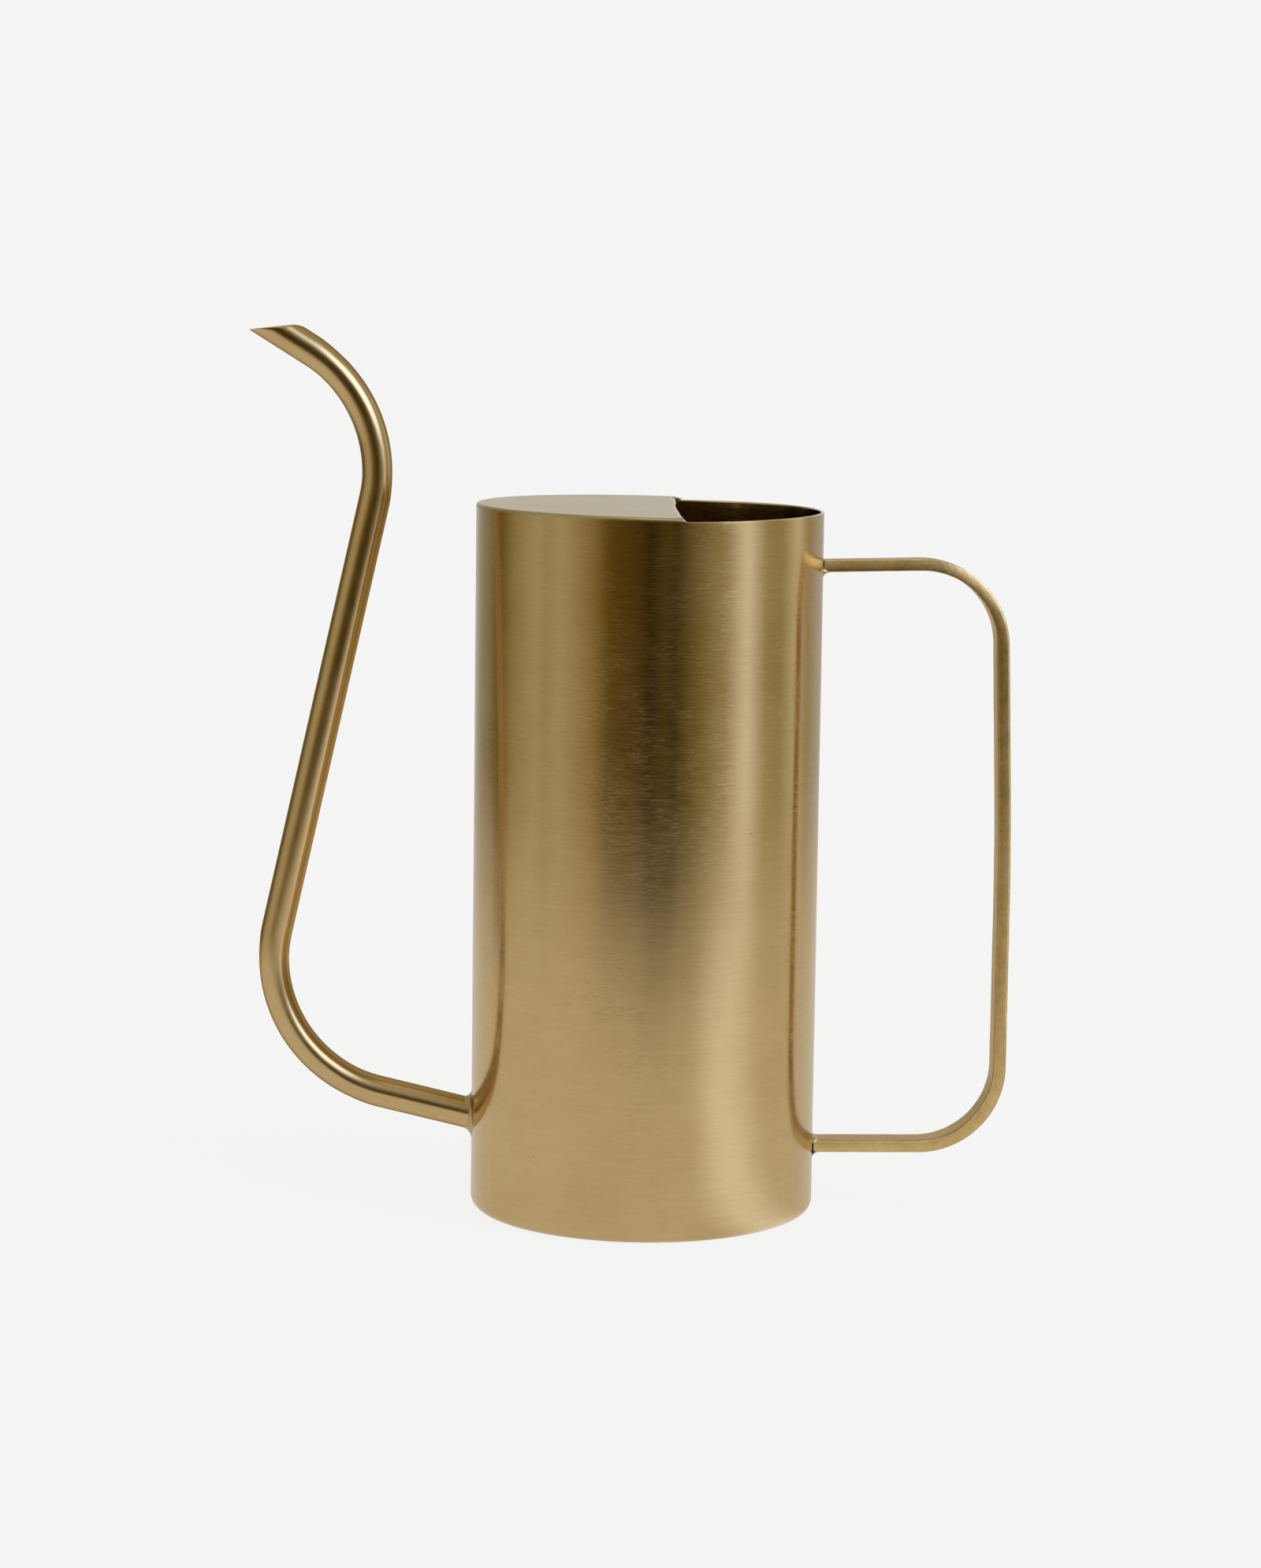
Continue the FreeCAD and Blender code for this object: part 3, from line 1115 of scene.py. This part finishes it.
@dataclass
class Spout:
    """Gooseneck tube and the collar of filler at its root."""

    tank: Tank
    tube_r: float = 4.96 * MM
    bore_r: float = 4.0 * MM
    root_rise: float = math.radians(13.6)
    run_lean: float = math.radians(12.5)
    tip_rise: float = math.radians(31.9)
    mitre_rise: float = math.radians(6.5)
    bend_r: float = 45.0 * MM
    outer_corner: float = 0.375 * MM
    tip_inset: float = 0.425 * MM
    high_corner_z: float = 256.4 * MM
    tip_height: float = 279.3 * MM
    flatten: float = 0.045
    tip_soft: float = 1.4 * MM
    tip_sag: float = 0.42 * MM
    stub: float = 3.0 * MM
    around: int = 56

    def __post_init__(self) -> None:
        """Work out the corners of the centre line from the frame."""
        low, _high = box_of("spout_tube")
        root_z = self.tank.hole_z
        wall_x = -self.tank.outer_r
        corner_x = low.x - self.outer_corner
        corner_z = root_z + (wall_x - corner_x) * math.tan(self.root_rise)
        top_x = corner_x + (self.high_corner_z - corner_z) * math.tan(self.run_lean)
        inside = wall_x + self.tank.sheet + self.stub
        start = Vector((inside, 0, root_z - (inside - wall_x) * math.tan(self.root_rise)))
        high = Vector((top_x, 0, self.high_corner_z))
        self.tip_way = Vector((-math.cos(self.tip_rise), 0, math.sin(self.tip_rise)))
        tip_start = high + self.tip_way * (self.bend_r * math.tan(self._top_turn() / 2) + 1.0 * MM)
        self.tip_point = Vector((low.x + self.tip_inset, 0, self.tip_height))
        self.corners = [start, Vector((corner_x, 0, corner_z)), high, tip_start]
        self.mitre_normal = Vector((-math.sin(self.mitre_rise), 0, math.cos(self.mitre_rise)))
        self.root = Vector((wall_x, 0, root_z))
        self.root_way = Vector((-math.cos(self.root_rise), 0, math.sin(self.root_rise)))

    def _top_turn(self) -> float:
        """Angle that the upper bend turns through."""
        return math.pi - self.tip_rise - (math.pi / 2 - self.run_lean)

    def _ring(self, place: Vector, way: Vector, radius: float, bent: float) -> Loop:
        """Points round the tube at a station, flattened in a bend."""
        across = SIDE.cross(way).normalized()
        points = []
        for i in range(self.around):
            turn = 2 * math.pi * i / self.around
            inplane = radius * (1 - self.flatten * bent) * math.cos(turn)
            outplane = radius * (1 + 0.008 * bent) * math.sin(turn)
            points.append(place + across * inplane + SIDE * outplane)
        return points

    def _unrolled(self, radius: float, gone: float) -> Loop:
        """Where a ring's points lay on the straight tube."""
        turns = [2 * math.pi * i / self.around for i in range(self.around)]
        return [round_z(radius, turn, gone) for turn in turns]

    def _to_mitre(self, points: Loop, short: float = 0.0) -> Loop:
        """Slide points along the tip until they meet its slanting end."""
        normal = self.mitre_normal
        lean = self.tip_way.dot(normal)
        reaches = [(self.tip_point - point).dot(normal) / lean - short for point in points]
        return [point + self.tip_way * reach for point, reach in zip(points, reaches)]

    def _softened(self, points: Loop) -> Loop:
        """Points with the corner over the mitre filed round."""
        normal = self.mitre_normal
        top = Vector((self.tip_way.z, 0, -self.tip_way.x))
        axis = self.corners[-1]
        out = []
        for point in points:
            below_cut = (self.tip_point - point).dot(normal)
            below_top = self.tube_r - (point - axis).dot(top)
            near = max(0.0, 1 - below_cut / self.tip_soft) * max(0.0, 1 - below_top / self.tip_soft)
            near = near**2
            out.append(point - (normal + top).normalized() * (self.tip_sag * near))
        return out

    def build_tube(self, finish: bpy.types.Material) -> None:
        """Outside and bore of the tube, joined at the root and at the softened tip."""
        sheet = Sheet()
        marks = Bend(self.corners, [self.bend_r, self.bend_r]).stations()
        skins = []
        for radius in (self.tube_r, self.bore_r):
            rings = []
            for place, way, gone, bent in marks:
                points = self._ring(place, way, radius, bent)
                rings.append(sheet.ring(points, self._unrolled(radius, gone)))
            skins.append(rings)
        outer, inner = skins
        place, way, gone, _bent = marks[-1]
        for radius, rings in ((self.tube_r, outer), (self.bore_r, inner)):
            base = self._ring(place, way, radius, 0.0)
            for share in (0.3, 0.55, 0.75, 0.9, 1.0):
                last = share == 1.0
                ends = self._to_mitre(base, 0.22 * MM if last else 0.0)
                points = self._softened([a + (b - a) * share for a, b in zip(base, ends)])
                stock = self._unrolled(radius, 0.0)
                for spot, point, start in zip(stock, points, base):
                    spot.z = gone + (point - start).length
                rings.append(sheet.ring(points, stock, 0.4 if last else 0.0))
        near, far = 0.06 * MM, 0.2 * MM
        lips = []
        for radius, short in (
            (self.tube_r - near, near),
            (self.tube_r - far, 0.0),
            (self.bore_r + far, 0.0),
            (self.bore_r + near, near),
        ):
            base = self._ring(place, way, radius, 0.0)
            points = self._softened(self._to_mitre(base, short))
            lips.append(sheet.ring(points, self._unrolled(radius, gone + 12 * MM), 0.7))
        sheet.skin(outer + lips + list(reversed(inner)), closed=True)
        sheet.piece("gooseneck_spout", "spout_tube", "spout_brass", finish)

    def build_collar(self, finish: bpy.types.Material) -> None:
        """Collar of filler, heavier below the tube."""
        across = SIDE.cross(self.root_way).normalized()

        def section(turn: float) -> tuple[Vector, Vector]:
            """Point and normal on the tube's root."""
            angle = 2 * math.pi * turn
            normal = across * math.cos(angle) + SIDE * math.sin(angle)
            return self.root + normal * self.tube_r, normal

        def spread(turn: float) -> float:
            """Collar size, a little uneven."""
            angle = 2 * math.pi * turn
            low_side = across.z * math.cos(angle) < 0
            more = (1.3 if low_side else 1.0) * math.cos(angle) ** 2
            uneven = 0.2 * wobble(2 * math.cos(angle), 2 * math.sin(angle), 4.0)
            return (1.6 + more + uneven) * MM

        def tone(turn: float, share: float) -> float:
            """Rubbed bright in the hollow, dull at both edges."""
            return 0.3 * math.sin(math.pi * share) - 0.25 * wobble(9 * turn, 5 * share, 2.0) - 0.1

        wall_r = self.tank.outer_r - 0.05 * MM
        collar = foot_collar(section, self.root_way, wall_r, spread, tone)
        collar.piece("spout_collar", "spout_braze", "filler_brass", finish)


# ---------------------------------------------------------------- the handle


@dataclass(frozen=True)
class Foot:
    """Filler at one foot of the handle: its sizes, its soot and where its bright bead sits."""

    name: str
    node: str
    z: float
    above: float
    side: float
    below: float
    reach: float
    darkening: float
    bead: float


@dataclass
class Handle:
    """Flat bar bent on edge, hand dressed, and the filler at its two feet."""

    tank: Tank
    wide: float = 10.0 * MM
    thick: float = 3.9 * MM
    crown: float = 0.24 * MM
    lean: float = 1.05 * MM
    bend_r: float = 26.0 * MM
    bow_r: float = 1400.0 * MM
    upper_start_z: float = 207.1 * MM
    upper_corner: tuple[float, float] = (111.8 * MM, 208.4 * MM)
    grip_z: float = 116.0 * MM

    def __post_init__(self) -> None:
        """Read the places that the frame fixes."""
        low, high = box_of("handle_bar")
        self.grip_x = high.x - 2.1 * MM
        self.lower_z = low.z + 2.0 * MM
        inside = self.tank.outer_r
        self.corners = [
            Vector((inside, 0, self.upper_start_z)),
            Vector((self.upper_corner[0], 0, self.upper_corner[1])),
            Vector((self.grip_x, 0, self.grip_z)),
            Vector((self.grip_x, 0, self.lower_z)),
            Vector((inside, 0, self.lower_z)),
        ]

    def _section(
        self, thick: float, crown: float = 0.1 * MM, arris: float = 0.5 * MM
    ) -> list[tuple[float, float, float]]:
        """Bar section.

        Args:
            thick: The bar's thickness here.
            crown: How much its sides bulge.
            arris: Size of the filed corners.

        Returns:
            (across the thickness, across the width, wear) round the bar.
        """
        half_t = thick / 2
        half_w = self.wide / 2
        quarter = [(half_t, k / 4 * (half_w - arris), 0.0) for k in range(4)]
        quarter.append((half_t, half_w - arris * 1.15, 0.15))
        quarter.append((half_t - arris * 0.12, half_w - arris * 0.85 - 0.04 * MM, 0.8))
        quarter.append((half_t - arris * 0.85, half_w - crown * 0.6, 0.8))
        for share in (0.75, 0.5, 0.25):
            quarter.append(((half_t - arris) * share, half_w - crown * 0.55 * share**2, 0.0))
        out = quarter + [(0.0, half_w, 0.0)]
        out += [(-t, w, s) for t, w, s in reversed(quarter)]
        out += [(-t, -w, s) for t, w, s in quarter[1:]]
        out.append((0.0, -half_w, 0.0))
        out += [(t, -w, s) for t, w, s in reversed(quarter[1:])]
        return out

    def _thickness(self, gone: float, total: float) -> float:
        """Thickness along the bar, thinner on the upper arm."""
        share = gone / total
        base = 3.6 + 0.5 * smooth(0.12, 0.3, share) - 0.25 * smooth(0.8, 0.9, share)
        return (base + 0.06 * wobble(gone / (9 * MM), 3.0, 0.0)) * MM

    def build_bar(self, finish: bpy.types.Material) -> None:
        """Bar swept along its path, its ends shaped to the wall."""
        sheet = Sheet()
        marks = Bend(self.corners, [self.bend_r, self.bow_r, self.bend_r], 1.2 * MM).stations()
        total = marks[-1][2]
        outwards = Vector((1, 0, 0))
        wall_r = self.tank.outer_r - 0.15 * MM
        rings = []
        for i, (place, way, gone, _bent) in enumerate(marks):
            share = gone / total
            across = way.cross(SIDE).normalized()
            drift = 0.10 * MM * wobble(gone / (38 * MM), 7.0, 0.0)
            lean = self.lean * (1 - smooth(0.16, 0.3, share))
            thick = self._thickness(gone, total)
            low_arm = smooth(0.6, 0.8, share)
            crown = self.crown * (1 - 0.7 * low_arm)
            nibble = 0.06 * wobble(gone / (2.5 * MM), 1.0, 9.0)
            arris = (0.22 + 0.22 * smooth(0.15, 0.3, share) + nibble) * MM
            points = []
            stock = []
            wear_and_painted_light = []
            for t, w, s in self._section(thick, crown, arris):
                # Arris wear stays full on the upper arrises of both arms and drops to 0.3 on the lower
                # ones: real wear on the filed corners, and a painted highlight where light falls from
                # above.
                s = s if (t < 0) == (low_arm > 0.5) else 0.3 * s
                w = w * (1 - lean / self.wide * (1 + 2 * t / thick))
                uneven = 0.035 * MM * wobble(gone / (3.5 * MM), t / (2 * MM), w / (3 * MM))
                point = place + across * (t + uneven) + SIDE * (w + drift)
                if i in (0, len(marks) - 1):
                    point = point + outwards * wall_distance(point, outwards, wall_r)
                points.append(point)
                stock.append(Vector((t, w, gone)))
                wear_and_painted_light.append(s * (0.6 + 0.4 * wobble(gone / (2 * MM), w / MM, t / MM)))
            rings.append(sheet.ring(points, stock, wear_and_painted_light))
        sheet.skin(rings)
        sheet.cap(rings[0])
        sheet.cap(rings[-1], flip=True)
        sheet.piece("bent_handle", "handle_bar", "handle_brass", finish)

    def build_foot(self, foot: Foot, finish: bpy.types.Material) -> None:
        """Filler round one foot.

        Args:
            foot: What is at this foot.
            finish: Its material.
        """
        upper = foot.z > self.grip_z
        outline = self._section(self._thickness(0.0 if upper else 1.0, 1.0))
        count = len(outline)

        def section(turn: float) -> tuple[Vector, Vector]:
            """Point and normal on the bar's foot."""
            i = int(turn * count + 0.5) % count
            t, w, _worn = outline[i]
            before = outline[i - 1]
            after = outline[(i + 1) % count]
            normal = Vector((0, after[0] - before[0], before[1] - after[1])).normalized()
            if normal.dot(Vector((0, w, t))) < 0:
                normal = -normal
            return Vector((self.tank.outer_r - 2 * MM, w, foot.z + t)), normal

        def spread(turn: float) -> float:
            """Fillet size round the bar."""
            _point, normal = section(turn)
            size = foot.side + (foot.above - foot.side) * max(0.0, normal.z)
            size += (foot.below - foot.side) * max(0.0, -normal.z)
            angle = 2 * math.pi * turn
            return size * (1 + 0.18 * wobble(3 * math.cos(angle), 3 * math.sin(angle), foot.z * 50))

        def tone(turn: float, share: float) -> float:
            """Sooty in the joint beside the bar, bright in the bead at its lower edge."""
            _point, normal = section(turn)
            joint = -foot.darkening * abs(normal.y) * smooth(0.1, 0.4, share) * (1 - smooth(0.75, 1.0, share))
            bead = 1.2 * max(0.0, 1 - abs(turn - foot.bead) / 0.05)
            return joint + bead + 0.25 * math.sin(math.pi * share)

        outer = self.tank.outer_r - 0.05 * MM
        collar = foot_collar(section, Vector((1, 0, 0)), outer, spread, tone, foot.reach, count)
        collar.piece(foot.name, foot.node, "filler_brass", finish)


# ---------------------------------------------------------------- the studio


ROOM_BANDS = (
    (0.000, (0.74, 0.74, 0.74)),
    (0.055, (0.5, 0.5, 0.49)),
    (0.100, (0.33, 0.325, 0.29)),
    (0.145, (0.265, 0.238, 0.166)),
    (0.180, (0.12, 0.095, 0.025)),
    (0.226, (0.331, 0.289, 0.164)),
    (0.285, (0.473, 0.45, 0.361)),
    (0.305, (0.397, 0.375, 0.259)),
    (0.337, (0.475, 0.455, 0.365)),
    (0.400, (0.285, 0.226, 0.095)),
    (0.430, (0.118, 0.08, 0.015)),
    (0.485, (0.073, 0.048, 0.006)),
    (0.505, (0.03, 0.018, 0.002)),
    (0.530, (0.082, 0.057, 0.01)),
    (0.550, (0.048, 0.035, 0.007)),
    (0.590, (0.178, 0.151, 0.067)),
    (0.645, (0.345, 0.312, 0.185)),
    (0.688, (0.84, 0.89, 1)),
    (0.730, (0.375, 0.345, 0.222)),
    (0.770, (0.348, 0.321, 0.19)),
    (0.820, (0.69, 0.69, 0.64)),
    (0.855, (0.375, 0.325, 0.21)),
    (0.900, (0.44, 0.425, 0.406)),
    (0.955, (0.47, 0.46, 0.44)),
    (1.000, (0.74, 0.74, 0.74)),
)


@dataclass
class Studio:
    """The camera, and a floor and room that are pale to it but coloured in what the metal mirrors.

    This is not a plain softbox set. The room's colours were tuned by heading until the wall
    mirrored the tones that were wanted, and the floor repeats them.
    """

    pale: float = 0.913
    floor_r: float = 30.0
    camera_off: float = 1.2752
    camera_side: float = 11.5 * MM
    camera_z: float = 308.5 * MM
    orbit: float = math.radians(-3.5)
    pitch: float = 0.13395
    yaw: float = -0.01303
    roll: float = 0.01333
    lens: float = 92.68
    key_turn: float = math.radians(57)
    key_rise: float = math.radians(29)
    key_core: float = math.radians(7)
    key_reach: float = math.radians(28)
    key_glow: Colour = (1.9, 2.25, 3.2)
    top_glow: Colour = (1.8, 1.7, 1.5)
    top_way: tuple[float, float, float] = (0.0, -0.2, 0.98)
    upper_glow: Colour = (0.40, 0.37, 0.29)
    near_glow: Colour = (0.64, 0.62, 0.57)
    slot_glow: Colour = (0.14, 0.08, 0.02)
    pool_glow: Colour = (0.92, 0.95, 1.05)

    def build_camera(self) -> None:
        """Long lens, a little above the rim and looking slightly down."""
        data = bpy.data.cameras.new("camera")
        data.lens = self.lens
        data.sensor_width = 36.0
        data.clip_end = 100.0
        item = bpy.data.objects.new("camera", data)
        bpy.context.collection.objects.link(item)
        place = Vector((self.camera_side, -self.camera_off, self.camera_z))
        turn = Matrix.Rotation(self.orbit, 4, "Z")
        aim = Matrix.Rotation(-self.yaw, 4, "Z") @ Matrix.Rotation(math.pi / 2 - self.pitch, 4, "X")
        item.matrix_world = turn @ Matrix.Translation(place) @ aim @ Matrix.Rotation(self.roll, 4, "Z")
        bpy.context.scene.camera = item

    def _bands(self, graph: Graph, heading: Value) -> bpy.types.NodeSocket:
        """Tuned light by heading: dark by the camera, a bright screen to its right."""
        return graph.add("ShaderNodeValToRGB", {"stops": ROOM_BANDS}, {"Fac": heading}).outputs[0]

    def _heading(self, graph: Graph, vector: object) -> Value:
        """Heading 0 to 1 round the can, 0.5 towards the main camera's place."""
        parts = graph.add("ShaderNodeSeparateXYZ", {}, {0: vector})
        x = Value(graph, parts.outputs[0])
        y = Value(graph, parts.outputs[1])
        settings = {"operation": "ARCTAN2"}
        angle = graph.add("ShaderNodeMath", settings, {0: x, 1: 0 - y})
        turn = 2 * math.pi
        return Value(graph, angle.outputs[0]) / turn + (0.5 - self.orbit / turn)

    def _key_way(self) -> Vector:
        """Direction of the softbox from the can."""
        turn = self.orbit + self.key_turn
        flat = math.cos(self.key_rise)
        return Vector((math.sin(turn) * flat, -math.cos(turn) * flat, math.sin(self.key_rise)))

    def _along(self, graph: Graph, way: object, aim: Colour) -> Value:
        """How nearly a direction agrees with an aim, 1 when it does."""
        inputs = {0: way, 1: aim}
        node = graph.add("ShaderNodeVectorMath", {"operation": "DOT_PRODUCT"}, inputs)
        return Value(graph, node.outputs["Value"])

    def build_world(self) -> None:
        """Room light: an even pale background to the camera, the tuned bands to the metal."""
        world = bpy.data.worlds.new("room")
        bpy.context.scene.world = world
        world.use_nodes = True
        graph = Graph(world.node_tree)
        way = graph.add("ShaderNodeTexCoord").outputs["Generated"]
        bands = self._bands(graph, self._heading(graph, way))
        height = Value(graph, graph.add("ShaderNodeSeparateXYZ", {}, {0: way}).outputs[2])
        lit = graph.blend(graph.step(height, 0.20, 0.65), bands, self.upper_glow)
        towards = self._along(graph, way, tuple(self._key_way()))
        softbox = graph.step(towards, math.cos(self.key_reach), math.cos(self.key_core))
        lit = graph.blend(softbox, lit, self.key_glow)
        overhead = self._along(graph, way, self.top_way)
        lit = graph.blend(graph.step(overhead, 0.98, 0.997), lit, self.top_glow)
        seen = Value(graph, graph.add("ShaderNodeLightPath").outputs["Is Camera Ray"])
        colour = graph.blend(seen, lit, (self.pale,) * 3)
        background = graph.add("ShaderNodeBackground", {}, {"Color": colour, "Strength": 1.0})
        graph.add("ShaderNodeOutputWorld", {}, {"Surface": background.outputs[0]})

    def build_floor(self) -> None:
        """Round pale floor whose far edge melts into the background."""
        count = 128
        points = [round_z(self.floor_r, 2 * math.pi * i / count, 0) for i in range(count)]
        mesh = bpy.data.meshes.new("floor")
        mesh.from_pydata(points, [], [tuple(range(count))])
        mesh.materials.append(self._floor_finish())
        floor = bpy.data.objects.new("floor", mesh)
        bpy.context.collection.objects.link(floor)

    def _floor_finish(self) -> bpy.types.Material:
        """Pale to the camera; mirrored, it glows with a slot, a pool and the room's bands.

        Returns:
            The floor's material.
        """
        material = bpy.data.materials.new("pale_floor")
        material.use_nodes = True
        graph = Graph(material.node_tree)
        place = graph.add("ShaderNodeTexCoord").outputs["Object"]
        ruler = graph.add("ShaderNodeVectorMath", {"operation": "LENGTH"}, {0: place})
        length = Value(graph, ruler.outputs["Value"])
        heading = self._heading(graph, place)
        off = heading - 0.525
        aside = off * off
        reach = graph.step(aside, 0.0005, 0.02) * 0.3 + graph.step(aside, 0.0, 0.0012) * 0.12 + 1.03
        far = graph.step(length / reach, 0.25, 0.85)
        pool = graph.step(heading, 0.57, 0.64) * (1 - graph.step(heading, 0.64, 0.73))
        slot = graph.step(heading, 0.165, 0.195) * (1 - graph.step(heading, 0.195, 0.225))
        slot = slot * graph.step(length, 0.4, 0.7)
        near = graph.blend(slot * 0.6, self.near_glow, self.slot_glow)
        near = graph.blend(pool, near, self.pool_glow)
        mirrored = graph.blend(far, near, self._bands(graph, heading))
        glow = graph.add("ShaderNodeEmission", {}, {"Color": mirrored, "Strength": 1.0})
        paint = graph.add("ShaderNodeBsdfDiffuse", {}, {"Color": (0.12, 0.12, 0.12)})
        lift = graph.add("ShaderNodeEmission", {}, {"Color": (1.0, 1.0, 1.0), "Strength": 0.85})
        both = graph.add("ShaderNodeAddShader", {}, {0: paint.outputs[0], 1: lift.outputs[0]})
        seen = graph.add("ShaderNodeLightPath").outputs["Is Camera Ray"]
        mixed = graph.add("ShaderNodeMixShader", {}, {0: seen, 1: glow.outputs[0], 2: both.outputs[0]})
        graph.add("ShaderNodeOutputMaterial", {}, {"Surface": mixed.outputs[0]})
        return material


def main() -> None:
    """Build the can and its studio."""
    logging.basicConfig(level=logging.INFO, format="%(message)s")
    wall = WALL_FINISH.build()
    cover_finish = COVER_FINISH.build()
    tube = SPOUT_FINISH.build()
    bar = HANDLE_FINISH.build()
    filler = BRAZE_FINISH.build()

    tank = Tank()
    tank.build_wall(wall)
    tank.build_base(wall)
    tank.build_beads(filler)
    cover = Cover(tank)
    cover.build(cover_finish)
    cover.build_fillet(filler)
    spout = Spout(tank)
    spout.build_tube(tube)
    spout.build_collar(filler)
    handle = Handle(tank)
    handle.build_bar(bar)
    upper = Foot(
        name="upper_foot_filler",
        node="handle_upper_braze",
        z=handle.upper_start_z,
        above=0.5 * MM,
        side=0.35 * MM,
        below=1.6 * MM,
        reach=1.7,
        darkening=1.2,
        bead=0.66,
    )
    lower = Foot(
        name="lower_foot_filler",
        node="handle_lower_braze",
        z=handle.lower_z,
        above=1.9 * MM,
        side=0.7 * MM,
        below=2.0 * MM,
        reach=1.15,
        darkening=1.5,
        bead=0.85,
    )
    handle.build_foot(upper, filler)
    handle.build_foot(lower, filler)

    studio = Studio()
    studio.build_camera()
    studio.build_world()
    studio.build_floor()
    bpy.context.scene.view_settings.view_transform = "Standard"


if __name__ == "__main__":
    main()
